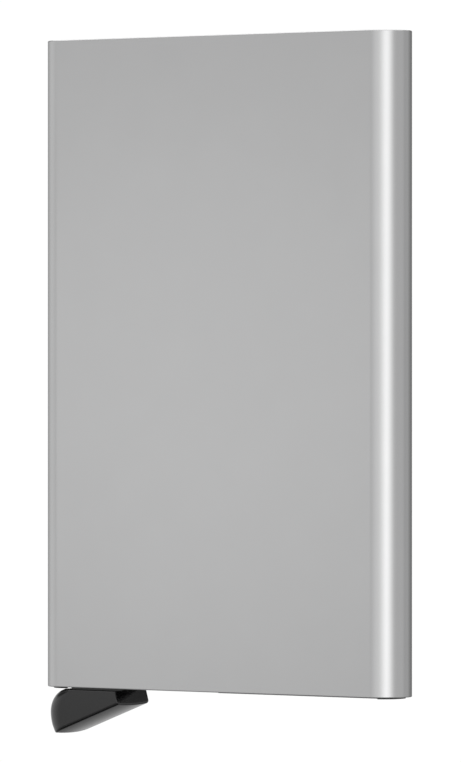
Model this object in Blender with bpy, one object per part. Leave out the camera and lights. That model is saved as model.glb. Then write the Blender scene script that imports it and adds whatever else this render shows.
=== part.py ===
"""Pop-up card case: an aluminium tube with a plastic chassis and a sprung lever in its lower end.

The case stands upright. X runs across its width, Y through its thickness (the front is at -Y) and
Z along its length, with the lever's tip at Z = 0. Sizes are in millimetres and scaled to metres once,
in new_object.
"""
from math import cos, pi, radians, sin, sqrt

import bmesh
import bpy
from mathutils import Matrix, Vector

MM = 0.001

# Case, outside
CASE_WIDTH = 63.0
CASE_DEPTH = 8.0
CASE_HEIGHT = 102.0
CASE_CORNER = 3.6
LEVER_DROP = 6.9
WALL = 0.8
RIM_CHAMFER = 0.15

# Cards that the case is made for (ISO/IEC 7810 ID-1)
CARD_THICKNESS = 0.76
CARD_COUNT = 6

# Fits
FIT = 0.1
RUNNING_FIT = 0.05

# Chassis
TUBE_BOTTOM = LEVER_DROP
INNER_HALF_WIDTH = CASE_WIDTH / 2 - WALL
INNER_HALF_DEPTH = CASE_DEPTH / 2 - WALL
CHASSIS_HALF_WIDTH = INNER_HALF_WIDTH - FIT
CHASSIS_HALF_DEPTH = INNER_HALF_DEPTH - FIT
CHASSIS_CORNER = CASE_CORNER - WALL - FIT
CHASSIS_WALL = 0.7
CHANNEL_HALF_DEPTH = CHASSIS_HALF_DEPTH - CHASSIS_WALL
FOOT_BOTTOM = TUBE_BOTTOM - 0.2
RECESS_BOTTOM = TUBE_BOTTOM + 0.4
PLATE_BOTTOM = TUBE_BOTTOM - 0.1
PLATE_START = 0.7
FLOOR_TOP = TUBE_BOTTOM + 1.6
CARD_SHELF = TUBE_BOTTOM + 8.6
SLOT_RIGHT = -9.5
SLOT_LEFT = -CHASSIS_HALF_WIDTH + 1.0
LEFT_FOOT_END = -27.2
RIGHT_FOOT_START = 28.6
RIGHT_BLOCK_START = 26.0
LEFT_BLOCK_END = -25.5
LEFT_BLOCK_BOTTOM = CARD_SHELF - 2.7
STOP_POST_LEFT = -19.0
STOP_POST_RIGHT = -17.0
STOP_POST_BOTTOM = CARD_SHELF - 3.2

# Lever, around its pivot
PIVOT = Vector((-13.5, 0.0, TUBE_BOTTOM + 4.5))
PIN_RADIUS = 0.75
HUB_RADIUS = 3.0
HUB_HALF_WIDTH = 2.0
BARREL_RADIUS = 1.5
ARM_HALF_WIDTH = CARD_COUNT * CARD_THICKNESS / 2
ARM_REACH = 39.0
ARM_STEP = 4.4
ARM_TOP = CARD_SHELF - 0.3
ARM_ROOT_BOTTOM = FLOOR_TOP + 0.7
ARM_TIP_BOTTOM = ARM_ROOT_BOTTOM + 2.7
NECK_HALF_WIDTH = 2.2
STOP_LUG_RADIUS = 3.9
STOP_LUG_ANGLES = (80.0, 116.0)
WASHER_THICKNESS = 0.3
SPRING_POCKET_RADIUS = 4.3
SPRING_POCKET_BACK = -0.25

# Lever tab, below the tube
TAB_TOP = TUBE_BOTTOM - 0.3
TAB_HALF_DEPTH = CASE_DEPTH / 2 - 0.1
TAB_CORNER = CASE_CORNER - 0.1
TAB_LEFT = -CASE_WIDTH / 2 + 0.5
TAB_WIDEST_HEIGHT = 3.2
TAB_UPPER_RADIUS = 3.5
TAB_LOWER_RADIUS = 6.0
TAB_SLOPE = radians(20.8)
TAB_HEEL = Vector((-16.9, 0.0, 4.66))
TAB_SHOULDER_X = -17.45

# Spring
WIRE_RADIUS = 0.16
COIL_RADIUS = 2.3
COIL_TURNS = 3.75
COIL_FRONT = -1.9
COIL_BACK = -0.5
SPRING_PEG = PIVOT + Vector((1.75, 0.0, 3.2))
SPRING_PEG_RADIUS = 0.3

# Pins that hold the chassis halves together, as (x, z)
CHASSIS_PIN_RADIUS = 0.6
CHASSIS_PINS = ((-27.6, 14.15), (-18.0, 13.9), (28.4, 13.7), (28.4, 8.9))

# Rails and pile strips
RAIL_BOTTOM = CARD_SHELF + 0.3
RAIL_TOP = CASE_HEIGHT - 1.6
RAIL_INNER_FACE = 27.8
PILE_TIP = 27.1
PILE_HALF_WIDTH = 2.2
BACKING_HALF_WIDTH = 2.5
BACKING_THICKNESS = 0.5

# Retaining clips
CLIP_POCKET_DEPTH = 0.6
CLIP_POCKET_HALF_WIDTH = 0.8
CLIP_BOTTOM = TUBE_BOTTOM + 2.8
CLIP_TOP = CLIP_BOTTOM + 3.6
CLIP_THICKNESS = 0.2


def material(name, colour, roughness, metallic=0.0):
    mat = bpy.data.materials.new(name)
    mat.use_nodes = True
    shader = mat.node_tree.nodes["Principled BSDF"]
    shader.inputs["Base Color"].default_value = (*colour, 1.0)
    shader.inputs["Roughness"].default_value = roughness
    shader.inputs["Metallic"].default_value = metallic
    mat.diffuse_color = (*colour, 1.0)
    return mat


def new_object(name, points, faces, mat=None):
    """Object from points in mm. Its faces are turned outward."""
    mesh = bpy.data.meshes.new(name)
    mesh.from_pydata([Vector(point) * MM for point in points], [], faces)
    shape = bmesh.new()
    shape.from_mesh(mesh)
    bmesh.ops.recalc_face_normals(shape, faces=shape.faces)
    shape.to_mesh(mesh)
    shape.free()
    if mat:
        mesh.materials.append(mat)
    item = bpy.data.objects.new(name, mesh)
    bpy.context.collection.objects.link(item)
    return item


def smooth(item, angle=35.0):
    item.data.shade_smooth()
    item.data.set_sharp_from_angle(angle=radians(angle))
    return item


def loft(name, rings, mat=None, closed_loop=False):
    """Skin over rings of equal length. Its ends are capped, or joined to each other for a tube."""
    count = len(rings[0])
    points = [point for ring in rings for point in ring]
    pairs = list(zip(range(len(rings) - 1), range(1, len(rings))))
    if closed_loop:
        pairs.append((len(rings) - 1, 0))
    faces = []
    for low, high in pairs:
        for i in range(count):
            j = (i + 1) % count
            faces.append((low * count + i, low * count + j, high * count + j, high * count + i))
    if not closed_loop:
        last = (len(rings) - 1) * count
        faces.append(tuple(range(count)))
        faces.append(tuple(last + i for i in range(count)))
    return new_object(name, points, faces, mat)


def plan_prism(name, outline, z_low, z_high, mat=None):
    """Outline of (x, y) points, extruded along Z."""
    return loft(name, [[(x, y, z) for x, y in outline] for z in (z_low, z_high)], mat)


def side_prism(name, outline, y_front, y_back, mat=None):
    """Outline of (x, z) points, extruded along Y."""
    return loft(name, [[(x, y, z) for x, z in outline] for y in (y_front, y_back)], mat)


def box(name, x_range, y_range, z_range, mat=None):
    corners = [(x, z) for x, z in zip((x_range[0], x_range[1], x_range[1], x_range[0]),
                                      (z_range[0], z_range[0], z_range[1], z_range[1]))]
    return side_prism(name, corners, *y_range, mat)


def arc(centre, radius, start, end, steps):
    """Points on an arc, from the start angle to the end angle in degrees."""
    angles = [radians(start + (end - start) * i / steps) for i in range(steps + 1)]
    return [(centre[0] + radius * cos(a), centre[1] + radius * sin(a)) for a in angles]


def circle(centre, radius, steps):
    return arc(centre, radius, 0.0, 360.0 - 360.0 / steps, steps - 1)


def rounded_rectangle(half_width, half_depth, corner, steps=8):
    outline = []
    for quarter, (sx, sy) in enumerate(((1, 1), (-1, 1), (-1, -1), (1, -1))):
        centre = (sx * (half_width - corner), sy * (half_depth - corner))
        outline += arc(centre, corner, 90.0 * quarter, 90.0 * quarter + 90.0, steps)
    return outline


def rod(name, centre, radius, y_front, y_back, mat=None, steps=32, chamfer=0.0):
    """Cylinder along Y, with its two ends chamfered."""
    sections = [(y_front, radius), (y_back, radius)]
    if chamfer:
        sections = [(y_front, radius - chamfer), (y_front + chamfer, radius),
                    (y_back - chamfer, radius), (y_back, radius - chamfer)]
    rings = [[(x, y, z) for x, z in circle((centre[0], centre[1]), size, steps)] for y, size in sections]
    return loft(name, rings, mat)


def ring(name, centre, inner, outer, y_front, y_back, mat=None, steps=32):
    """Round tube along Y."""
    sections = ((y_front, outer), (y_back, outer), (y_back, inner), (y_front, inner))
    rings = [[(x, y, z) for x, z in circle(centre, size, steps)] for y, size in sections]
    return loft(name, rings, mat, closed_loop=True)


def combine(item, operand, operation):
    """Boolean with a guide object, which moves with the item and is kept out of the model."""
    operand.parent = item
    operand.hide_render = True
    operand.display_type = "WIRE"
    modifier = item.modifiers.new(operand.name, "BOOLEAN")
    modifier.operation = operation
    modifier.object = operand
    modifier.solver = "EXACT"


def cut(item, cutter):
    combine(item, cutter, "DIFFERENCE")


def add(item, addition):
    combine(item, addition, "UNION")


def set_origin(item, point):
    """Move the object's origin to a point, leaving its shape and its guide objects where they are."""
    item.data.transform(Matrix.Translation(-point * MM))
    item.location = point * MM
    for guide in item.children:
        guide.location = -point * MM


def side_of_case(outline, side):
    """Right-hand outline, or its mirror image on the left."""
    return [(side * x, y) for x, y in outline]


def make_housing(mat):
    rings = []
    half_width = CASE_WIDTH / 2
    half_depth = CASE_DEPTH / 2
    levels = ((TUBE_BOTTOM, RIM_CHAMFER), (TUBE_BOTTOM + RIM_CHAMFER, 0.0),
              (CASE_HEIGHT - RIM_CHAMFER, 0.0), (CASE_HEIGHT, RIM_CHAMFER),
              (CASE_HEIGHT, WALL), (TUBE_BOTTOM, WALL))
    for z, inset in levels:
        outline = rounded_rectangle(half_width - inset, half_depth - inset, CASE_CORNER - inset)
        rings.append([(x, y, z) for x, y in outline])
    smooth(loft("housing", rings, mat, closed_loop=True), 30.0)


def make_chassis_half(name, side, mat):
    """One half of the chassis. side is -1 for the front and 1 for the rear."""
    corner_x = CHASSIS_HALF_WIDTH - CHASSIS_CORNER
    corner_y = CHASSIS_HALF_DEPTH - CHASSIS_CORNER
    outline = [(CHASSIS_HALF_WIDTH, FIT / 2)]
    outline += arc((corner_x, corner_y), CHASSIS_CORNER, 0.0, 90.0, 8)
    outline += arc((-corner_x, corner_y), CHASSIS_CORNER, 90.0, 180.0, 8)
    outline += [(-CHASSIS_HALF_WIDTH, FIT / 2)]
    outline = [(x, side * y) for x, y in outline]
    half = plan_prism(name, outline, FOOT_BOTTOM, CARD_SHELF, mat)

    above = CARD_SHELF + 1.0
    below = FOOT_BOTTOM - 1.0
    channel = [
        (SLOT_LEFT, below), (SLOT_RIGHT, below), (SLOT_RIGHT, FLOOR_TOP), (RIGHT_BLOCK_START, FLOOR_TOP),
        (RIGHT_BLOCK_START, above), (STOP_POST_RIGHT, above), (STOP_POST_RIGHT, STOP_POST_BOTTOM),
        (STOP_POST_LEFT, STOP_POST_BOTTOM), (STOP_POST_LEFT, above), (LEFT_BLOCK_END, above),
        (LEFT_BLOCK_END, LEFT_BLOCK_BOTTOM), (SLOT_LEFT, LEFT_BLOCK_BOTTOM),
    ]
    cut(half, side_prism(name + "_channel", channel, -CHANNEL_HALF_DEPTH, CHANNEL_HALF_DEPTH))
    steps = [(LEFT_FOOT_END, below), (RIGHT_FOOT_START, below), (RIGHT_FOOT_START, PLATE_BOTTOM),
             (PLATE_START, PLATE_BOTTOM), (PLATE_START, RECESS_BOTTOM), (LEFT_FOOT_END, RECESS_BOTTOM)]
    cut(half, side_prism(name + "_recess", steps, -CASE_DEPTH, CASE_DEPTH))
    cut(half, rod(name + "_pivot_hole", (PIVOT.x, PIVOT.z), PIN_RADIUS + RUNNING_FIT, -CASE_DEPTH, CASE_DEPTH))
    for number, place in enumerate(CHASSIS_PINS, 1):
        hole = rod(f"{name}_pin_hole_{number}", place, CHASSIS_PIN_RADIUS + RUNNING_FIT,
                   -CASE_DEPTH, CASE_DEPTH, steps=24)
        cut(half, hole)
    for hand in (-1, 1):
        ends = sorted((hand * (CHASSIS_HALF_WIDTH - CLIP_POCKET_DEPTH), hand * CASE_WIDTH))
        cut(half, box(f"{name}_clip_pocket_{hand}", ends,
                      (-CLIP_POCKET_HALF_WIDTH, CLIP_POCKET_HALF_WIDTH), (CLIP_BOTTOM - FIT, CLIP_TOP + FIT)))
    if side < 0:
        peg = rod(name + "_spring_peg", (SPRING_PEG.x, SPRING_PEG.z), SPRING_PEG_RADIUS,
                  -CHANNEL_HALF_DEPTH - 0.2, -CHANNEL_HALF_DEPTH + 0.9, steps=16)
        add(half, peg)
    return half


def tab_left_edge(z):
    """How far left the tab reaches at height z: a tight curve above its widest point, a long one below."""
    radius = TAB_UPPER_RADIUS if z > TAB_WIDEST_HEIGHT else TAB_LOWER_RADIUS
    rise = z - TAB_WIDEST_HEIGHT
    return TAB_LEFT + radius - sqrt(radius ** 2 - rise ** 2)


def make_tab():
    """Finger tab, as a stack of sections with a rounded left end, cut to its sloping underside."""
    levels = 12
    overhang = 4.0
    rings = []
    for level in range(levels + 1):
        z = TAB_TOP * level / levels
        left = tab_left_edge(z)
        outline = arc((left + TAB_CORNER, -TAB_HALF_DEPTH + TAB_CORNER), TAB_CORNER, 270.0, 180.0, 8)
        outline += arc((left + TAB_CORNER, TAB_HALF_DEPTH - TAB_CORNER), TAB_CORNER, 180.0, 90.0, 8)
        outline += [(TAB_HEEL.x + overhang, TAB_HALF_DEPTH), (TAB_HEEL.x + overhang, -TAB_HALF_DEPTH)]
        rings.append([(x, y, z) for x, y in outline])
    tab = loft("lever_tab", rings)

    run = CASE_WIDTH / 2 + TAB_HEEL.x
    reach = 2.0 * run
    direction = Vector((-cos(TAB_SLOPE), 0.0, -sin(TAB_SLOPE)))
    far_point = TAB_HEEL + direction * reach
    shoulder = Vector((TAB_SHOULDER_X, 0.0, TAB_TOP))
    end_direction = (shoulder - TAB_HEEL).normalized()
    above = TAB_HEEL + end_direction * 4.0
    waste = [(far_point.x, far_point.z), (TAB_HEEL.x, TAB_HEEL.z), (above.x, above.z),
             (above.x + 2 * overhang, above.z), (above.x + 2 * overhang, far_point.z)]
    cut(tab, side_prism("lever_tab_waste", waste, -CASE_DEPTH, CASE_DEPTH))
    return tab


def make_arm(mat):
    """Arm whose plan is a flight of steps: the front card is lifted least and the rear card most."""
    outline = [(PIVOT.x, -ARM_HALF_WIDTH)]
    for step in range(CARD_COUNT):
        reach = PIVOT.x + ARM_REACH - ARM_STEP * (CARD_COUNT - 1 - step)
        front = -ARM_HALF_WIDTH + CARD_THICKNESS * step
        outline += [(reach, front), (reach, front + CARD_THICKNESS)]
    outline += [(PIVOT.x, ARM_HALF_WIDTH)]
    arm = plan_prism("lever", outline, ARM_ROOT_BOTTOM - 0.5, ARM_TOP, mat)
    slope = (ARM_TIP_BOTTOM - ARM_ROOT_BOTTOM) / ARM_REACH
    past = 3.0
    waste = [(PIVOT.x - past, ARM_ROOT_BOTTOM - slope * past),
             (PIVOT.x + ARM_REACH + past, ARM_TIP_BOTTOM + slope * past),
             (PIVOT.x + ARM_REACH + past, ARM_ROOT_BOTTOM - past), (PIVOT.x - past, ARM_ROOT_BOTTOM - past)]
    cut(arm, side_prism("lever_arm_waste", waste, -CASE_DEPTH, CASE_DEPTH))
    return arm


def make_lever(mat, axis):
    lever = make_arm(mat)
    pivot = (PIVOT.x, PIVOT.z)
    past = ARM_HALF_WIDTH + 0.5
    beyond = past + 1.0
    neck = [(-27.0, TAB_TOP - 1.2), (-26.4, TAB_TOP + 1.3), (-19.5, PIVOT.z - 0.9), (-16.3, PIVOT.z + 0.8),
            (PIVOT.x, PIVOT.z + 1.0), (-13.2, PIVOT.z - 2.7), (TAB_SHOULDER_X - 0.1, TAB_TOP - 0.05),
            (TAB_SHOULDER_X - 0.4, TAB_TOP - 1.2)]
    add(lever, rod("lever_hub", pivot, HUB_RADIUS, -past, past, steps=48))
    add(lever, side_prism("lever_neck", neck, -NECK_HALF_WIDTH, NECK_HALF_WIDTH))
    add(lever, make_tab())
    lug = arc(pivot, STOP_LUG_RADIUS, *STOP_LUG_ANGLES, 6) + arc(pivot, 1.3, *STOP_LUG_ANGLES[::-1], 6)
    add(lever, side_prism("lever_stop_lug", lug, SPRING_POCKET_BACK - 0.5, NECK_HALF_WIDTH))

    cut(lever, ring("lever_spring_pocket", pivot, BARREL_RADIUS, SPRING_POCKET_RADIUS, -beyond,
                    SPRING_POCKET_BACK, steps=48))
    cut(lever, rod("lever_washer_seat", pivot, HUB_RADIUS + 0.3, HUB_HALF_WIDTH, beyond, steps=40))
    cut(lever, rod("lever_barrel_face", pivot, BARREL_RADIUS + 0.4, -beyond, -HUB_HALF_WIDTH, steps=36))
    leg_top = PIVOT.z + COIL_RADIUS
    cut(lever, box("lever_spring_leg_slot", (PIVOT.x, PIVOT.x + 6.4), (COIL_BACK - 0.4, COIL_BACK + 0.25),
                   (leg_top - WIRE_RADIUS - FIT, ARM_TOP + 1.0)))
    cut(lever, rod("lever_bore", pivot, PIN_RADIUS + RUNNING_FIT, -beyond, beyond, steps=32))
    set_origin(lever, PIVOT)
    lever.parent = axis
    lever.location = (0.0, 0.0, 0.0)


def make_spring(mat):
    """Torsion spring on the hub: its rear leg pushes the arm down and its front leg bears on the peg."""
    route = [(PIVOT.x + COIL_RADIUS, COIL_FRONT, PIVOT.z + 3.5)]
    steps = 66
    for i in range(steps + 1):
        share = i / steps
        angle = -2.0 * pi * COIL_TURNS * share
        y = COIL_FRONT + (COIL_BACK - COIL_FRONT) * share
        route.append((PIVOT.x + COIL_RADIUS * cos(angle), y, PIVOT.z + COIL_RADIUS * sin(angle)))
    route.append((PIVOT.x + 5.8, COIL_BACK, PIVOT.z + COIL_RADIUS))
    return wire(mat, "return_spring", route, WIRE_RADIUS)


def wire(mat, name, route, radius, sides=8):
    """Round wire along a route, with a section square to it at each point."""
    points = [Vector(point) for point in route]
    rings = []
    last = len(points) - 1
    across = Vector((0.0, 1.0, 0.0))
    for i, point in enumerate(points):
        along = (points[min(i + 1, last)] - points[max(i - 1, 0)]).normalized()
        first = (across - along * across.dot(along)).normalized()
        second = along.cross(first)
        rings.append([point + radius * (first * cos(2 * pi * k / sides) + second * sin(2 * pi * k / sides))
                      for k in range(sides)])
    return smooth(loft(name, rings, mat), 50.0)


def make_pins_and_washers(steel, polymer):
    pivot = (PIVOT.x, PIVOT.z)
    reach = CHASSIS_HALF_DEPTH - FIT
    smooth(rod("pivot_pin", pivot, PIN_RADIUS, -reach, reach, steel, chamfer=0.12))
    for number, place in enumerate(CHASSIS_PINS, 1):
        smooth(rod(f"chassis_pin_{number}", place, CHASSIS_PIN_RADIUS, -reach, reach, steel, 24, 0.12))
    for name, side in (("front", -1), ("rear", 1)):
        near = side * (HUB_HALF_WIDTH + RUNNING_FIT)
        far = near + side * WASHER_THICKNESS
        smooth(ring(f"thrust_washer_{name}", pivot, PIN_RADIUS + RUNNING_FIT, 1.45, min(near, far), max(near, far),
                    polymer))


def make_stop_pad(mat):
    """Pad on the chassis floor that the arm's root comes down on."""
    left = PIVOT.x + 9.5
    arm_bottom = ARM_ROOT_BOTTOM + (ARM_TIP_BOTTOM - ARM_ROOT_BOTTOM) * (left - PIVOT.x) / ARM_REACH
    box("lever_stop_pad", (left, left + 4.0), (-1.8, 1.8), (FLOOR_TOP + FIT, arm_bottom - RUNNING_FIT), mat)


def make_side_rail(name, side, mat):
    """Rail with the chassis' outer outline and a T-slot for the pile strip."""
    corner_x = CHASSIS_HALF_WIDTH - CHASSIS_CORNER
    corner_y = CHASSIS_HALF_DEPTH - CHASSIS_CORNER
    outer = [(RAIL_INNER_FACE, -CHASSIS_HALF_DEPTH)]
    outer += arc((corner_x, -corner_y), CHASSIS_CORNER, -90.0, 0.0, 8)
    outer += arc((corner_x, corner_y), CHASSIS_CORNER, 0.0, 90.0, 8)
    outer += [(RAIL_INNER_FACE, CHASSIS_HALF_DEPTH)]
    mouth = PILE_HALF_WIDTH + FIT
    slot = BACKING_HALF_WIDTH + FIT
    lip = RAIL_INNER_FACE + 0.5
    back = lip + BACKING_THICKNESS + 2 * FIT
    inner = [(RAIL_INNER_FACE, mouth), (lip, mouth), (lip, slot), (back, slot),
             (back, -slot), (lip, -slot), (lip, -mouth), (RAIL_INNER_FACE, -mouth)]
    plan_prism(name, side_of_case(outer + inner, side), RAIL_BOTTOM, RAIL_TOP, mat)


def make_pile_strip(name, side, backing_mat, pile_mat):
    """Woven backing in the rail's slot, and the pile that stands on it and touches the cards."""
    backing_inner = RAIL_INNER_FACE + 0.5 + FIT
    backing_x = sorted((side * backing_inner, side * (backing_inner + BACKING_THICKNESS)))
    pile_x = sorted((side * PILE_TIP, side * (backing_inner - RUNNING_FIT)))
    box(f"pile_backing_{name}", backing_x, (-BACKING_HALF_WIDTH, BACKING_HALF_WIDTH),
        (RAIL_BOTTOM + 0.3, RAIL_TOP - 0.3), backing_mat)
    box(f"pile_{name}", pile_x, (-PILE_HALF_WIDTH, PILE_HALF_WIDTH), (RAIL_BOTTOM + 0.3, RAIL_TOP - 0.3), pile_mat)


def make_retaining_clip(name, side, mat):
    """Bowed strip of spring steel between the chassis' end and the tube."""
    pocket = CHASSIS_HALF_WIDTH - CLIP_POCKET_DEPTH + FIT
    bow = INNER_HALF_WIDTH - RUNNING_FIT - CLIP_THICKNESS - pocket
    steps = 10
    inner = []
    for i in range(steps + 1):
        z = CLIP_BOTTOM + (CLIP_TOP - CLIP_BOTTOM) * i / steps
        inner.append((pocket + bow * sin(pi * i / steps), z))
    outline = inner + [(x + CLIP_THICKNESS, z) for x, z in reversed(inner)]
    half_width = CLIP_POCKET_HALF_WIDTH - FIT
    smooth(side_prism(name, side_of_case(outline, side), -half_width, half_width, mat), 40.0)


def make_case():
    for item in list(bpy.data.objects):
        bpy.data.objects.remove(item, do_unlink=True)

    aluminium = material("anodised_aluminium", (0.56, 0.57, 0.58), 0.38, 1.0)
    black_plastic = material("black_plastic", (0.015, 0.015, 0.016), 0.35)
    grey_plastic = material("grey_plastic", (0.10, 0.10, 0.11), 0.45)
    steel = material("steel", (0.60, 0.60, 0.60), 0.25, 1.0)
    acetal = material("white_acetal", (0.75, 0.75, 0.72), 0.4)
    rubber = material("black_rubber", (0.03, 0.03, 0.03), 0.8)
    woven = material("woven_backing", (0.06, 0.06, 0.06), 0.9)
    pile = material("grey_pile", (0.16, 0.16, 0.17), 1.0)

    axis = bpy.data.objects.new("lever_axis", None)
    bpy.context.collection.objects.link(axis)
    axis.location = PIVOT * MM

    make_housing(aluminium)
    make_chassis_half("chassis_front", -1, black_plastic)
    make_chassis_half("chassis_rear", 1, black_plastic)
    make_lever(black_plastic, axis)
    make_spring(steel)
    make_pins_and_washers(steel, acetal)
    make_stop_pad(rubber)
    for name, side in (("left", -1), ("right", 1)):
        make_side_rail(f"side_rail_{name}", side, grey_plastic)
        make_pile_strip(name, side, woven, pile)
        make_retaining_clip(f"retaining_clip_{name}", side, steel)


make_case()
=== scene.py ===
"""Looks of the pop-up card case: bead-blasted aluminium tube, black moulded lever and chassis.

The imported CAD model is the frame. The tube, the lever and the pile strips get finer meshes built here;
the other CAD pieces keep their shape, get rounded edges from modifiers and a material each.
Sizes are in millimetres unless a comment says metres.
"""
import random
from math import atan2, cos, pi, radians, sin, sqrt, tan

import bmesh
import bpy
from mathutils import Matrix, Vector


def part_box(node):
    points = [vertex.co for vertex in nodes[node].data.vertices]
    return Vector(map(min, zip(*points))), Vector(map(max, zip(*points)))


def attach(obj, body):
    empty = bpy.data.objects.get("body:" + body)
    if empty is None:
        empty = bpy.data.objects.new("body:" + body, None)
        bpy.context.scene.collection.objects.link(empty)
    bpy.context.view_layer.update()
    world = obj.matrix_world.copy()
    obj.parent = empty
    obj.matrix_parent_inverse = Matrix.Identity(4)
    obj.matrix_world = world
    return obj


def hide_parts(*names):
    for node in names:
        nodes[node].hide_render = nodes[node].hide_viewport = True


MM = 0.001
ROUND_STEPS = 64

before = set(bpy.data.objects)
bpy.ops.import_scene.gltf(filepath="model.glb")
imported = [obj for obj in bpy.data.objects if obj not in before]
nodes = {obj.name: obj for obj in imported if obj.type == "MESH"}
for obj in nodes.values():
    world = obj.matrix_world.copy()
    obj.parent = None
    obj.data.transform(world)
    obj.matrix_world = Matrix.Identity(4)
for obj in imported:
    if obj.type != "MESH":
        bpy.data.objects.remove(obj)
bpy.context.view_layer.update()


def node_box(name):
    """Lowest and highest corner of a CAD node, in mm."""
    low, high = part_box(name)
    return low / MM, high / MM


# ---------------------------------------------------------------- sizes, in mm, from the frame
TUBE_LOW, TUBE_HIGH = node_box("housing")
LEVER_LOW, LEVER_HIGH = node_box("lever")
PIN_LOW, PIN_HIGH = node_box("pivot_pin")
HALF_WIDTH = TUBE_HIGH.x
HALF_DEPTH = TUBE_HIGH.y
TUBE_CORNER = 3.6
WALL = 0.8
RIM_ROUND = 0.16

PIVOT = (PIN_LOW + PIN_HIGH) / 2
PIN_RADIUS = (PIN_HIGH.x - PIN_LOW.x) / 2

# Lever tab
TAB_GAP = 0.3
TAB_INSET = 0.1
TAB_TOP = TUBE_LOW.z - TAB_GAP
TAB_HALF_DEPTH = HALF_DEPTH - TAB_INSET
TAB_CORNER = TUBE_CORNER - TAB_INSET
TAB_LEFT = LEVER_LOW.x
TAB_WIDEST_HEIGHT = 3.2
TAB_UPPER_RADIUS = 3.5
TAB_LOWER_RADIUS = 6.0
TAB_SLOPE = radians(20.8)
TAB_HEEL = (-16.9, 4.66)
TAB_SHOULDER_X = -17.45
TAB_EDGE_ROUND = 0.42
TAB_END_ROUND = 0.2
TAB_CROWN = 0.2
TAB_TIP_ROUND = 0.35
TAB_HEEL_ROUND = 0.3
TAB_SHOULDER_ROUND = 0.15
TAB_SIDE_STEPS = 26
TAB_CORNER_TRIES = 30

# Lever inside the chassis
CARD_THICKNESS = 0.76
CARD_COUNT = 6
ARM_HALF_WIDTH = CARD_COUNT * CARD_THICKNESS / 2
ARM_REACH = LEVER_HIGH.x - PIVOT.x
ARM_STEP = 4.4
ARM_TOP = 15.2
ARM_ROOT_BOTTOM = 9.2
ARM_TIP_BOTTOM = 11.9
HUB_RADIUS = 3.0
HUB_HALF_WIDTH = 2.0
BARREL_RADIUS = 1.5
NECK_HALF_WIDTH = 2.2
STOP_LUG_RADIUS = 3.9
STOP_LUG_ANGLES = (80.0, 116.0)
SPRING_POCKET_RADIUS = 4.3
SPRING_POCKET_BACK = -0.25
LEG_SLOT_BOTTOM = PIVOT.z + 2.04
LEG_SLOT_REACH = 6.4
LEG_SLOT_FRONT = -0.9
RUNNING_FIT = 0.05

# Torsion spring
WIRE_RADIUS = 0.16
COIL_RADIUS = 2.3
COIL_TURNS = 3.75
COIL_FRONT = -1.9
COIL_BACK = -0.5
FRONT_LEG_RISE = 3.5
REAR_LEG_REACH = 5.8

# Pile strips; root share and shortfall are shares of the strip's height, and taper one of the fibre's width
PILE_PITCH = 0.3
PILE_ROOT_SHARE = 0.35
FIBRE_HALF_WIDTH = 0.14
FIBRE_TAPER = 0.55
FIBRE_JITTER = 0.05
FIBRE_SHORTFALL = 0.16
FIBRE_LEAN = 0.12

# Camera: a far, long lens, a little to the right of the case and level with its middle
CAMERA_AZIMUTH = 35.96
CAMERA_DISTANCE = 996.9
CAMERA_HEIGHT = 55.34
CAMERA_PAN = -0.029
CAMERA_TILT = 0.195
CAMERA_LENS = 324.6

# Studio walls: their even light level, and the soft boxes along them as compass bearing, half width in
# degrees and level added. Bearing 0 is in front of the case and 90 on its right. The last one is a dark
# stretch behind the case. All were set one by one.
STUDIO_WALL = 0.60
STUDIO_BOXES = (
    (49.0, 40.0, 1.00),
    (8.0, 44.0, 0.29),
    (-80.0, 48.0, 0.17),
    (-140.0, 18.0, 0.40),
    (174.0, 44.0, -0.30),
)
STUDIO_STOPS = 30
# Light level that the walls fade into, with the heights in degrees where each fade starts and ends
STUDIO_HEIGHTS = (
    (0.12, 11.0, 17.0),
    (1.5, 24.0, 38.0),
    (0.24, -12.0, -29.0),
    (0.34, -31.0, -38.0),
    (0.05, -50.0, -62.0),
)
BACKDROP_LEVEL = 1.02
# Soft round lights: name, bearing in degrees, then distance, height, width and tallness in metres,
# and power in watts
STUDIO_PANELS = (
    ("face_glow", -36.0, 0.36, 0.048, 0.11, 0.12, 0.0072),
    ("corner_glow", 50.0, 0.36, 0.015, 0.05, 0.09, 0.0012),
)
FLOOR_RADIUS = 260.0


# ---------------------------------------------------------------- mesh helpers
def new_piece(name, points, faces):
    """Mesh object from points in mm, with its faces turned outward."""
    mesh = bpy.data.meshes.new(name)
    mesh.from_pydata([Vector(point) * MM for point in points], [], faces)
    shape = bmesh.new()
    shape.from_mesh(mesh)
    bmesh.ops.recalc_face_normals(shape, faces=shape.faces)
    shape.to_mesh(mesh)
    shape.free()
    piece = bpy.data.objects.new(name, mesh)
    bpy.context.scene.collection.objects.link(piece)
    return piece


def loft(name, rings, closed_loop=False):
    """Skin over rings of equal length. Its ends are capped, or joined to each other for a tube."""
    count = len(rings[0])
    points = [point for ring in rings for point in ring]
    pairs = list(zip(range(len(rings) - 1), range(1, len(rings))))
    if closed_loop:
        pairs.append((len(rings) - 1, 0))
    faces = []
    for low, high in pairs:
        for i in range(count):
            j = (i + 1) % count
            faces.append((low * count + i, low * count + j, high * count + j, high * count + i))
    if not closed_loop:
        last = (len(rings) - 1) * count
        faces.append(tuple(range(count)))
        faces.append(tuple(last + i for i in range(count)))
    return new_piece(name, points, faces)


def side_prism(name, outline, y_front, y_back):
    """Outline of (x, z) points, extruded along Y."""
    return loft(name, [[(x, y, z) for x, z in outline] for y in (y_front, y_back)])


def arc(centre, radius, start, end, steps):
    """Points on an arc, from the start angle to the end angle in degrees."""
    angles = [radians(start + (end - start) * i / steps) for i in range(steps + 1)]
    return [(centre[0] + radius * cos(a), centre[1] + radius * sin(a)) for a in angles]


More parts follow.
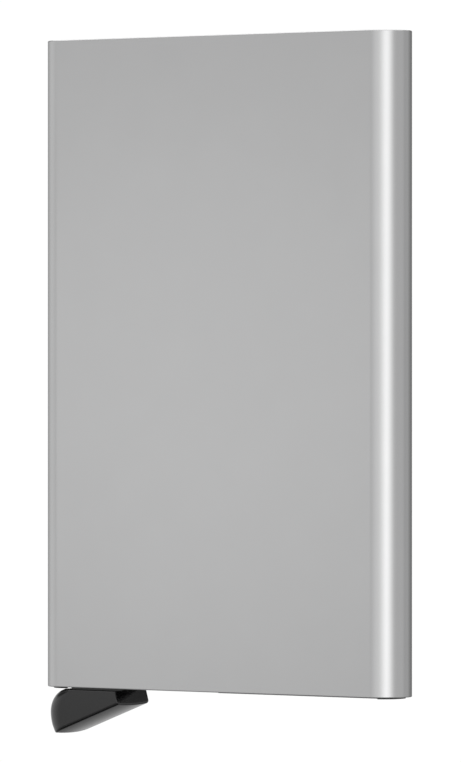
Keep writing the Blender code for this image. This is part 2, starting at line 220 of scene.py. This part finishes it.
def rounded_rectangle(half_width, half_depth, corner, steps):
    outline = []
    for quarter, (sx, sy) in enumerate(((1, 1), (-1, 1), (-1, -1), (1, -1))):
        centre = (sx * (half_width - corner), sy * (half_depth - corner))
        outline += arc(centre, corner, 90.0 * quarter, 90.0 * quarter + 90.0, steps)
    return outline


def full_circle(centre, radius):
    """Points of a circle, without the first one again."""
    return arc(centre, radius, 0.0, 360.0 - 360.0 / ROUND_STEPS, ROUND_STEPS - 1)


def rod(name, centre, radius, y_front, y_back):
    circle = full_circle(centre, radius)
    return side_prism(name, circle, y_front, y_back)


def ring(name, centre, inner, outer, y_front, y_back):
    sections = ((y_front, outer), (y_back, outer), (y_back, inner), (y_front, inner))
    rings = []
    for y, radius in sections:
        rings.append([(x, y, z) for x, z in full_circle(centre, radius)])
    return loft(name, rings, closed_loop=True)


def boolean(piece, tool, operation):
    """Apply a Boolean and remove its tool."""
    modifier = piece.modifiers.new("boolean", "BOOLEAN")
    modifier.operation = operation
    modifier.object = tool
    modifier.solver = "EXACT"
    bake_modifiers(piece)
    bpy.data.objects.remove(tool, do_unlink=True)


def bake_modifiers(piece):
    """Turn the evaluated mesh into the piece's own mesh."""
    graph = bpy.context.evaluated_depsgraph_get()
    mesh = bpy.data.meshes.new_from_object(piece.evaluated_get(graph))
    piece.modifiers.clear()
    piece.data = mesh


def shade(piece, angle):
    """Smooth shading that keeps crisp edges crisp and flat faces flat beside their rounded edges."""
    piece.data.shade_smooth()
    piece.data.set_sharp_from_angle(angle=radians(angle))
    weighted = piece.modifiers.new("weighted_normals", "WEIGHTED_NORMAL")
    weighted.keep_sharp = True
    weighted.weight = 60


def soften_edges(piece, width):
    """Round a piece's crisp edges with modifiers, so that they catch the light as moulded edges do."""
    weld = piece.modifiers.new("weld", "WELD")
    weld.merge_threshold = 0.002 * MM
    bevel = piece.modifiers.new("bevel", "BEVEL")
    bevel.width = width * MM
    bevel.segments = 2
    bevel.limit_method = "ANGLE"
    bevel.angle_limit = radians(30.0)
    bevel.harden_normals = True


# ---------------------------------------------------------------- material helpers
class Nodes:
    """Small helper that builds a node tree by name."""

    def __init__(self, name):
        self.material = bpy.data.materials.new(name)
        self.material.use_nodes = True
        self.tree = self.material.node_tree
        self.shader = self.tree.nodes["Principled BSDF"]

    def add(self, kind, **settings):
        node = self.tree.nodes.new(kind)
        for key, value in settings.items():
            setattr(node, key, value)
        return node

    def join(self, output, socket):
        self.tree.links.new(output, socket)

    def place(self):
        """Object coordinates, which are metres in the frame of the piece."""
        return self.add("ShaderNodeTexCoord").outputs["Object"]

    def noise(self, size_mm, detail=3.0, stretch=(1.0, 1.0, 1.0), roughness=0.5):
        """Noise whose features are about size_mm across."""
        mapping = self.add("ShaderNodeMapping")
        mapping.inputs["Scale"].default_value = stretch
        self.join(self.place(), mapping.inputs["Vector"])
        texture = self.add("ShaderNodeTexNoise")
        texture.inputs["Scale"].default_value = 1.0 / (size_mm * MM)
        texture.inputs["Detail"].default_value = detail
        texture.inputs["Roughness"].default_value = roughness
        self.join(mapping.outputs["Vector"], texture.inputs["Vector"])
        return texture.outputs["Fac"]

    def spread(self, value, low, high):
        """Map a 0-1 value to a range."""
        node = self.add("ShaderNodeMapRange")
        node.inputs["To Min"].default_value = low
        node.inputs["To Max"].default_value = high
        self.join(value, node.inputs["Value"])
        return node.outputs["Result"]

    def tint(self, value, dark, light):
        """Blend two colours by a 0-1 value."""
        node = self.add("ShaderNodeMix", data_type="RGBA")
        node.inputs["A"].default_value = (*dark, 1.0)
        node.inputs["B"].default_value = (*light, 1.0)
        self.join(value, node.inputs["Factor"])
        return node.outputs["Result"]

    def bump(self, height, strength, depth_mm):
        node = self.add("ShaderNodeBump")
        node.inputs["Strength"].default_value = strength
        node.inputs["Distance"].default_value = depth_mm * MM
        self.join(height, node.inputs["Height"])
        return node.outputs["Normal"]


def aluminium_material():
    """Bead-blasted and clear-anodised: an even satin grain of about a tenth of a millimetre."""
    m = Nodes("anodised_aluminium")
    m.shader.inputs["Metallic"].default_value = 1.0
    grain = m.noise(0.09, detail=4.0, roughness=0.6)
    cloud = m.noise(7.0, detail=2.0)
    m.join(m.tint(cloud, (0.632, 0.633, 0.635), (0.654, 0.655, 0.657)), m.shader.inputs["Base Color"])
    m.join(m.spread(grain, 0.245, 0.285), m.shader.inputs["Roughness"])
    m.shader.inputs["Specular Tint"].default_value = (0.6, 0.6, 0.6, 1.0)
    m.join(m.bump(grain, 0.22, 0.006), m.shader.inputs["Normal"])
    return m.material


def plastic_material(name, colour, rough):
    """Moulded plastic with a fine spark-eroded grain and slight flow marks."""
    m = Nodes(name)
    grain = m.noise(0.12, detail=3.0)
    flow = m.noise(2.5, detail=2.0, stretch=(0.4, 1.0, 1.0))
    dark = tuple(c * 0.9 for c in colour)
    light = tuple(c * 1.1 for c in colour)
    m.join(m.tint(flow, dark, light), m.shader.inputs["Base Color"])
    m.join(m.spread(grain, rough - 0.02, rough + 0.02), m.shader.inputs["Roughness"])
    m.join(m.bump(grain, 0.15, 0.004), m.shader.inputs["Normal"])
    return m.material


def steel_material(name, colour, rough, along):
    """Drawn steel with fine lines along its length."""
    m = Nodes(name)
    m.shader.inputs["Metallic"].default_value = 1.0
    lines = m.noise(0.05, detail=3.0, stretch=along)
    dark = tuple(c * 0.93 for c in colour)
    m.join(m.tint(lines, dark, colour), m.shader.inputs["Base Color"])
    m.join(m.spread(lines, rough - 0.05, rough + 0.07), m.shader.inputs["Roughness"])
    m.join(m.bump(lines, 0.2, 0.002), m.shader.inputs["Normal"])
    return m.material


def rubber_material():
    m = Nodes("black_rubber")
    speckle = m.noise(0.08, detail=4.0)
    m.join(m.tint(speckle, (0.018, 0.018, 0.018), (0.035, 0.035, 0.035)), m.shader.inputs["Base Color"])
    m.shader.inputs["Roughness"].default_value = 0.8
    m.join(m.bump(speckle, 0.4, 0.01), m.shader.inputs["Normal"])
    return m.material


def woven_material():
    """Narrow woven tape: crossing warp and weft."""
    m = Nodes("woven_backing")
    heights = []
    for direction in ("Y", "Z"):
        wave = m.add("ShaderNodeTexWave", wave_type="BANDS", bands_direction=direction)
        wave.inputs["Scale"].default_value = 620.0
        m.join(m.place(), wave.inputs["Vector"])
        heights.append(wave.outputs["Fac"])
    both = m.add("ShaderNodeMath", operation="MAXIMUM")
    m.join(heights[0], both.inputs[0])
    m.join(heights[1], both.inputs[1])
    colour = m.tint(both.outputs[0], (0.03, 0.03, 0.032), (0.075, 0.075, 0.08))
    m.join(colour, m.shader.inputs["Base Color"])
    m.shader.inputs["Roughness"].default_value = 0.85
    m.join(m.bump(both.outputs[0], 0.6, 0.05), m.shader.inputs["Normal"])
    return m.material


def pile_material():
    """Dense nylon pile: each tuft a slightly different grey."""
    m = Nodes("grey_pile")
    tufts = m.noise(0.5, detail=2.0)
    m.join(m.tint(tufts, (0.055, 0.055, 0.058), (0.12, 0.12, 0.125)), m.shader.inputs["Base Color"])
    m.shader.inputs["Roughness"].default_value = 0.75
    m.shader.inputs["Sheen Weight"].default_value = 0.6
    m.shader.inputs["Sheen Roughness"].default_value = 0.4
    return m.material


def paint(piece, material):
    piece.data.materials.clear()
    piece.data.materials.append(material)


# ---------------------------------------------------------------- housing
def build_housing(material):
    """Extruded tube: rounded-rectangle section, with both rims lightly rounded."""
    steps = 36
    turns = 4
    rings = []

    def add_ring(inset, z):
        outline = rounded_rectangle(HALF_WIDTH - inset, HALF_DEPTH - inset, TUBE_CORNER - inset, steps)
        rings.append([(x, y, z) for x, y in outline])

    def add_rim(edge_z, inward, insets_first):
        """Half-turn over one rim, from the outer wall to the inner wall or back."""
        rims = []
        for i in range(turns + 1):
            angle = pi / 2 * i / turns
            rims.append((RIM_ROUND * (1 - cos(angle)), edge_z + inward * RIM_ROUND * (1 - sin(angle))))
        for i in range(turns + 1):
            angle = pi / 2 * i / turns
            inset = WALL - RIM_ROUND * (1 - sin(angle))
            rims.append((inset, edge_z + inward * RIM_ROUND * (1 - cos(angle))))
        if not insets_first:
            rims.reverse()
        for inset, z in rims:
            add_ring(inset, z)

    add_rim(TUBE_HIGH.z, -1, True)
    add_rim(TUBE_LOW.z, 1, False)
    housing = loft("housing_tube", rings, closed_loop=True)
    shade(housing, 40.0)
    paint(housing, material)
    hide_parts("housing")
    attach(housing, "case")


# ---------------------------------------------------------------- lever
def round_corner(before, corner, after, radius, steps):
    """Arc that rounds the corner of an outline."""
    to_before = (Vector(before) - Vector(corner)).normalized()
    to_after = (Vector(after) - Vector(corner)).normalized()
    half = to_before.angle(to_after) / 2
    reach = radius / tan(half)
    centre = Vector(corner) + (to_before + to_after).normalized() * (radius / sin(half))
    start = Vector(corner) + to_before * reach - centre
    end = Vector(corner) + to_after * reach - centre
    first = atan2(start.y, start.x)
    turn = atan2(end.y, end.x) - first
    turn = (turn + pi) % (2 * pi) - pi
    angles = [first + turn * i / steps for i in range(steps + 1)]
    return [(centre.x + radius * cos(angle), centre.y + radius * sin(angle)) for angle in angles]


def tab_left_edge(z, shift):
    """How far left the tab reaches at height z, when its end is drawn in by shift."""
    radius = TAB_UPPER_RADIUS if z > TAB_WIDEST_HEIGHT else TAB_LOWER_RADIUS
    rise = z - TAB_WIDEST_HEIGHT
    return TAB_LEFT + shift + radius - sqrt(radius ** 2 - rise ** 2)


def tab_outline(y):
    """Side view of the tab at depth y: the end is rounded in plan and every edge is rounded off."""
    depth = abs(y)
    plan = max(0.0, depth - (TAB_HALF_DEPTH - TAB_CORNER))
    shift = TAB_CORNER - sqrt(max(0.0, TAB_CORNER ** 2 - plan ** 2))
    edge = max(0.0, depth - (TAB_HALF_DEPTH - TAB_EDGE_ROUND))
    inset = TAB_EDGE_ROUND - sqrt(max(0.0, TAB_EDGE_ROUND ** 2 - edge ** 2))
    end = max(0.0, depth - (TAB_HALF_DEPTH - TAB_END_ROUND))
    end_inset = TAB_END_ROUND - sqrt(max(0.0, TAB_END_ROUND ** 2 - end ** 2))

    top = TAB_TOP - 0.4 * inset
    crown = TAB_CROWN * (depth / TAB_HALF_DEPTH) ** 2
    lift = inset / cos(TAB_SLOPE) + crown
    lean = (TAB_SHOULDER_X - TAB_HEEL[0]) / (TAB_TOP - TAB_HEEL[1])

    def underside(x):
        return max(TAB_HEEL[1] - TAB_CROWN + tan(TAB_SLOPE) * (x - TAB_HEEL[0]), 0.0) + lift

    def end_face(z):
        return TAB_HEEL[0] + lean * (z - TAB_HEEL[1]) - end_inset

    tip_z = 0.0
    for _ in range(TAB_CORNER_TRIES):
        tip_z = underside(tab_left_edge(tip_z, shift))
    heel_z = TAB_HEEL[1]
    for _ in range(TAB_CORNER_TRIES):
        heel_z = underside(end_face(heel_z))
    tip = (tab_left_edge(tip_z, shift), tip_z)
    heel = (end_face(heel_z), heel_z)
    shoulder = (end_face(top), top)

    left = []
    for i in range(TAB_SIDE_STEPS + 1):
        z = top + (tip_z - top) * i / TAB_SIDE_STEPS
        left.append((tab_left_edge(z, shift), z))
    outline = [point for point in left[:-1] if point[1] > tip_z + 2.2 * TAB_TIP_ROUND]
    outline += round_corner(left[-3], tip, (tip[0] + 0.3, underside(tip[0] + 0.3)), TAB_TIP_ROUND, 8)
    foot_end = max(TAB_HEEL[0] - (TAB_HEEL[1] - TAB_CROWN) / tan(TAB_SLOPE), tip[0] + 0.8)
    outline += [(x, underside(x)) for x in (foot_end - 0.2, foot_end, foot_end + 0.3)]
    outline += round_corner((foot_end, underside(foot_end)), heel, shoulder, TAB_HEEL_ROUND, 8)
    outline += round_corner(heel, shoulder, left[0], TAB_SHOULDER_ROUND, 4)
    return outline


def build_tab():
    """Finger tab: a skin over side views, closely spaced where its edges turn."""
    depths = {0.0}
    for round_off in (TAB_EDGE_ROUND, TAB_END_ROUND, TAB_CORNER):
        for i in range(11):
            turn = radians(90.0 * i / 10)
            depths.add(round(TAB_HALF_DEPTH - round_off + round_off * sin(turn), 4))
    ordered = sorted(depths)
    rings = []
    for y in [-depth for depth in reversed(ordered) if depth > 0.0] + ordered:
        rings.append([(x, y, z) for x, z in tab_outline(y)])
    return loft("tab", rings)


def plan_prism(name, outline, z_low, z_high):
    """Outline of (x, y) points, extruded along Z."""
    return loft(name, [[(x, y, z) for x, y in outline] for z in (z_low, z_high)])


def build_lever(material):
    """Stepped arm, hub, neck and tab, moulded in one piece."""
    outline = [(PIVOT.x, -ARM_HALF_WIDTH)]
    for step in range(CARD_COUNT):
        reach = PIVOT.x + ARM_REACH - ARM_STEP * (CARD_COUNT - 1 - step)
        front = -ARM_HALF_WIDTH + CARD_THICKNESS * step
        outline += [(reach, front), (reach, front + CARD_THICKNESS)]
    outline += [(PIVOT.x, ARM_HALF_WIDTH)]
    lever = plan_prism("lever_moulding", outline, ARM_ROOT_BOTTOM - 0.5, ARM_TOP)

    slope = (ARM_TIP_BOTTOM - ARM_ROOT_BOTTOM) / ARM_REACH
    past = 3.0
    waste = [(PIVOT.x - past, ARM_ROOT_BOTTOM - slope * past),
             (PIVOT.x + ARM_REACH + past, ARM_TIP_BOTTOM + slope * past),
             (PIVOT.x + ARM_REACH + past, ARM_ROOT_BOTTOM - past),
             (PIVOT.x - past, ARM_ROOT_BOTTOM - past)]
    boolean(lever, side_prism("waste", waste, -HALF_DEPTH, HALF_DEPTH), "DIFFERENCE")

    pivot = (PIVOT.x, PIVOT.z)
    beyond = ARM_HALF_WIDTH + 1.5
    boolean(lever, rod("hub", pivot, HUB_RADIUS, -beyond, beyond), "UNION")
    neck = [(-27.0, TAB_TOP - 1.2), (-26.4, TAB_TOP + 1.3), (-19.5, PIVOT.z - 0.9),
            (-16.3, PIVOT.z + 0.8), (PIVOT.x, PIVOT.z + 1.0), (-13.2, PIVOT.z - 2.7),
            (TAB_SHOULDER_X - 0.1, TAB_TOP - 0.05), (TAB_SHOULDER_X - 0.4, TAB_TOP - 1.2)]
    boolean(lever, side_prism("neck", neck, -NECK_HALF_WIDTH, NECK_HALF_WIDTH), "UNION")
    lug = arc(pivot, STOP_LUG_RADIUS, *STOP_LUG_ANGLES, 10) + arc(pivot, 1.3, *STOP_LUG_ANGLES[::-1], 10)
    boolean(lever, side_prism("lug", lug, SPRING_POCKET_BACK - 0.5, NECK_HALF_WIDTH), "UNION")
    clear = beyond + 1.0
    pocket = ring("pocket", pivot, BARREL_RADIUS, SPRING_POCKET_RADIUS, -clear, SPRING_POCKET_BACK)
    boolean(lever, pocket, "DIFFERENCE")
    washer_seat = rod("washer_seat", pivot, HUB_RADIUS + 0.3, HUB_HALF_WIDTH, clear)
    boolean(lever, washer_seat, "DIFFERENCE")
    barrel_face = rod("barrel_face", pivot, BARREL_RADIUS + 0.4, -clear, -HUB_HALF_WIDTH)
    boolean(lever, barrel_face, "DIFFERENCE")
    slot_end = PIVOT.x + LEG_SLOT_REACH
    leg = [(PIVOT.x, LEG_SLOT_BOTTOM), (slot_end, LEG_SLOT_BOTTOM),
           (slot_end, ARM_TOP + 1.0), (PIVOT.x, ARM_TOP + 1.0)]
    boolean(lever, side_prism("leg_slot", leg, LEG_SLOT_FRONT, SPRING_POCKET_BACK), "DIFFERENCE")
    boolean(lever, rod("bore", pivot, PIN_RADIUS + RUNNING_FIT, -clear, clear), "DIFFERENCE")
    soften_edges(lever, 0.09)
    bake_modifiers(lever)
    boolean(lever, build_tab(), "UNION")
    shade(lever, 32.0)
    paint(lever, material)
    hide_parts("lever")
    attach(lever, "lever_body")


# ---------------------------------------------------------------- spring and pile
def build_spring(material):
    """Torsion spring of round wire, wound on the lever's barrel."""
    route = [(PIVOT.x + COIL_RADIUS, COIL_FRONT, PIVOT.z + FRONT_LEG_RISE)]
    steps = 150
    for i in range(steps + 1):
        share = i / steps
        angle = -2.0 * pi * COIL_TURNS * share
        y = COIL_FRONT + (COIL_BACK - COIL_FRONT) * share
        route.append((PIVOT.x + COIL_RADIUS * cos(angle), y, PIVOT.z + COIL_RADIUS * sin(angle)))
    route.append((PIVOT.x + REAR_LEG_REACH, COIL_BACK, PIVOT.z + COIL_RADIUS))
    points = [Vector(point) for point in route]
    rings = []
    for i, point in enumerate(points):
        ahead = points[min(i + 1, len(points) - 1)]
        behind = points[max(i - 1, 0)]
        along = (ahead - behind).normalized()
        side = along.cross(Vector((0.0, 1.0, 0.0))).normalized()
        up = side.cross(along)
        rings.append([point + WIRE_RADIUS * (side * cos(turn) + up * sin(turn))
                      for turn in (2.0 * pi * j / 14 for j in range(14))])
    spring = loft("torsion_spring", rings)
    shade(spring, 50.0)
    paint(spring, material)
    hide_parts("return_spring")
    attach(spring, "lever_body")


def build_pile(node, material):
    """Strip of upright fibres in rows, each a thin leaning pyramid on a solid root."""
    low, high = node_box(node)
    inward = -1.0 if low.x > 0.0 else 1.0
    root = high.x if inward < 0.0 else low.x
    tip = low.x if inward < 0.0 else high.x
    height = abs(tip - root)
    seeds = random.Random(7)
    rows = int((high.y - low.y) / PILE_PITCH)
    columns = int((high.z - low.z) / PILE_PITCH)
    base = root + inward * PILE_ROOT_SHARE * height
    points = []
    faces = []

    def add_block():
        start = len(points)
        for x in (root, base):
            for y, z in ((low.y, low.z), (high.y, low.z), (high.y, high.z), (low.y, high.z)):
                points.append((x, y, z))
        for face in ((0, 1, 2, 3), (4, 5, 6, 7), (0, 1, 5, 4), (1, 2, 6, 5), (2, 3, 7, 6), (3, 0, 4, 7)):
            faces.append(tuple(start + i for i in face))

    add_block()
    for row in range(rows):
        for column in range(columns):
            y = low.y + PILE_PITCH * (row + 0.5) + seeds.uniform(-FIBRE_JITTER, FIBRE_JITTER)
            z = low.z + PILE_PITCH * (column + 0.5) + seeds.uniform(-FIBRE_JITTER, FIBRE_JITTER)
            end = tip - inward * seeds.uniform(0.0, FIBRE_SHORTFALL) * height
            lean_y = min(max(y + seeds.uniform(-FIBRE_LEAN, FIBRE_LEAN), low.y), high.y)
            lean_z = min(max(z + seeds.uniform(-FIBRE_LEAN, FIBRE_LEAN), low.z), high.z)
            start = len(points)
            foot = (base, y, z, FIBRE_HALF_WIDTH)
            top = (end, lean_y, lean_z, FIBRE_HALF_WIDTH * FIBRE_TAPER)
            for x, cy, cz, size in (foot, top):
                for turn in range(4):
                    angle = pi / 2 * turn + pi / 4
                    points.append((x, cy + size * cos(angle), cz + size * sin(angle)))
            for i in range(4):
                j = (i + 1) % 4
                faces.append((start + i, start + j, start + 4 + j, start + 4 + i))
            faces.append((start + 4, start + 5, start + 6, start + 7))
    strip = new_piece(node + "_tufts", points, faces)
    paint(strip, material)
    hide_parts(node)
    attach(strip, "case")


# ---------------------------------------------------------------- camera and light
def build_camera():
    camera = bpy.data.objects.new("camera", bpy.data.cameras.new("camera"))
    bpy.context.scene.collection.objects.link(camera)
    bpy.context.scene.camera = camera
    camera.data.lens = CAMERA_LENS
    camera.data.sensor_fit = "AUTO"
    camera.data.sensor_width = 36.0
    camera.data.clip_start = 0.05
    camera.data.clip_end = 50.0
    azimuth = radians(CAMERA_AZIMUTH)
    turn = radians(CAMERA_AZIMUTH + CAMERA_PAN)
    tilt = radians(CAMERA_TILT)
    place = Vector((CAMERA_DISTANCE * sin(azimuth), -CAMERA_DISTANCE * cos(azimuth), CAMERA_HEIGHT))
    camera.location = place * MM
    forward = Vector((-sin(turn) * cos(tilt), cos(turn) * cos(tilt), -sin(tilt)))
    camera.rotation_euler = forward.to_track_quat("-Z", "Y").to_euler()


def studio_level(bearing):
    """Light level of the studio walls at a compass bearing, in degrees."""
    level = STUDIO_WALL
    for middle, half_width, added in STUDIO_BOXES:
        offset = abs((bearing - middle + 180.0) % 360.0 - 180.0)
        if offset < half_width:
            level += added * (1 + cos(pi * offset / half_width)) / 2
    return level


def build_world():
    """Walls of light all round the case, level by compass bearing and then by height."""
    world = bpy.data.worlds.new("studio")
    bpy.context.scene.world = world
    world.use_nodes = True
    tree = world.node_tree
    tree.nodes.clear()

    def add(kind, **settings):
        node = tree.nodes.new(kind)
        for key, value in settings.items():
            setattr(node, key, value)
        return node

    direction = add("ShaderNodeSeparateXYZ")
    tree.links.new(add("ShaderNodeTexCoord").outputs["Generated"], direction.inputs[0])
    front = add("ShaderNodeMath", operation="MULTIPLY")
    front.inputs[1].default_value = -1.0
    tree.links.new(direction.outputs["Y"], front.inputs[0])
    bearing = add("ShaderNodeMath", operation="ARCTAN2")
    tree.links.new(direction.outputs["X"], bearing.inputs[0])
    tree.links.new(front.outputs[0], bearing.inputs[1])
    share = add("ShaderNodeMapRange")
    share.inputs["From Min"].default_value = -pi
    share.inputs["From Max"].default_value = pi
    tree.links.new(bearing.outputs[0], share.inputs["Value"])
    ramp = add("ShaderNodeValToRGB")
    tree.links.new(share.outputs["Result"], ramp.inputs["Fac"])
    stops = ramp.color_ramp.elements
    for number in range(STUDIO_STOPS + 1):
        place = number / STUDIO_STOPS
        level = studio_level(360.0 * place - 180.0)
        stop = stops[number] if number < 2 else stops.new(place)
        stop.position = place
        stop.color = (level, level, level, 1.0)

    def fade(walls, level, start, end):
        """Blend the walls into one level between two heights above the horizon, in degrees."""
        height = add("ShaderNodeMapRange")
        height.inputs["From Min"].default_value = sin(radians(start))
        height.inputs["From Max"].default_value = sin(radians(end))
        tree.links.new(direction.outputs["Z"], height.inputs["Value"])
        mixed = add("ShaderNodeMix", data_type="RGBA")
        mixed.inputs["B"].default_value = (level, level, level, 1.0)
        tree.links.new(height.outputs["Result"], mixed.inputs["Factor"])
        tree.links.new(walls, mixed.inputs["A"])
        return mixed.outputs["Result"]

    room = ramp.outputs["Color"]
    for level, start, end in STUDIO_HEIGHTS:
        room = fade(room, level, start, end)

    soft = add("ShaderNodeBackground")
    tree.links.new(room, soft.inputs["Color"])
    backdrop = add("ShaderNodeBackground")
    backdrop.inputs["Color"].default_value = (1.0, 1.0, 1.0, 1.0)
    backdrop.inputs["Strength"].default_value = BACKDROP_LEVEL
    choose = add("ShaderNodeMixShader")
    tree.links.new(add("ShaderNodeLightPath").outputs["Is Camera Ray"], choose.inputs["Fac"])
    tree.links.new(soft.outputs[0], choose.inputs[1])
    tree.links.new(backdrop.outputs[0], choose.inputs[2])
    output = add("ShaderNodeOutputWorld")
    tree.links.new(choose.outputs[0], output.inputs["Surface"])


def build_panel(name, bearing, distance, height, width, tall, power):
    """Round soft light that faces the case from a compass bearing. It isn't seen by the camera."""
    light = bpy.data.lights.new(name, "AREA")
    light.shape = "ELLIPSE"
    light.size = width
    light.size_y = tall
    light.energy = power
    lamp = bpy.data.objects.new(name, light)
    bpy.context.scene.collection.objects.link(lamp)
    turn = radians(bearing)
    place = Vector((distance * sin(turn), -distance * cos(turn), height))
    lamp.location = place
    lamp.rotation_euler = (Vector((0.0, 0.0, height)) - place).to_track_quat("-Z", "Y").to_euler()
    lamp.visible_camera = False


def build_floor():
    """Round white sweep under the case. The camera sees only the white backdrop behind it."""
    circle = arc((0.0, 0.0), FLOOR_RADIUS, 0.0, 355.0, 71)
    floor = new_piece("floor", [(x, y, 0.0) for x, y in circle], [tuple(range(len(circle)))])
    m = Nodes("white_floor")
    mottle = m.noise(60.0, detail=2.0)
    m.join(m.tint(mottle, (0.86, 0.86, 0.86), (0.88, 0.88, 0.88)), m.shader.inputs["Base Color"])
    m.shader.inputs["Roughness"].default_value = 0.9
    paint(floor, m.material)
    floor.visible_camera = False
    floor.visible_glossy = False


# ---------------------------------------------------------------- build
build_camera()
build_world()
build_floor()
for panel in STUDIO_PANELS:
    build_panel(*panel)
bpy.context.scene.view_settings.view_transform = "Standard"

aluminium = aluminium_material()
lever_plastic = plastic_material("lever_plastic", (0.006, 0.006, 0.0062), 0.13)
lever_plastic.node_tree.nodes["Principled BSDF"].inputs["IOR"].default_value = 1.62
chassis_plastic = plastic_material("chassis_plastic", (0.014, 0.014, 0.0145), 0.42)
rail_plastic = plastic_material("rail_plastic", (0.03, 0.03, 0.031), 0.46)
acetal = plastic_material("natural_acetal", (0.62, 0.61, 0.57), 0.32)
pin_steel = steel_material("ground_pin_steel", (0.60, 0.59, 0.57), 0.24, (1.0, 0.05, 1.0))
wire_steel = steel_material("spring_wire", (0.52, 0.51, 0.50), 0.28, (0.3, 1.0, 0.3))
clip_steel = steel_material("clip_strip", (0.56, 0.55, 0.54), 0.30, (1.0, 1.0, 0.06))
rubber = rubber_material()
woven = woven_material()
pile = pile_material()

build_housing(aluminium)
build_lever(lever_plastic)
build_spring(wire_steel)
for name in ("pile_left", "pile_right"):
    build_pile(name, pile)

KEPT_NODES = (
    (("chassis_front", "chassis_rear"), chassis_plastic, 0.08),
    (("chassis_pin_1", "chassis_pin_2", "chassis_pin_3", "chassis_pin_4", "pivot_pin"), pin_steel, 0.06),
    (("thrust_washer_front", "thrust_washer_rear"), acetal, 0.04),
    (("lever_stop_pad",), rubber, 0.12),
    (("side_rail_left", "side_rail_right"), rail_plastic, 0.08),
    (("pile_backing_left", "pile_backing_right"), woven, 0.06),
    (("retaining_clip_left", "retaining_clip_right"), clip_steel, 0.03),
)
for names, material, width in KEPT_NODES:
    for name in names:
        paint(nodes[name], material)
        soften_edges(nodes[name], width)
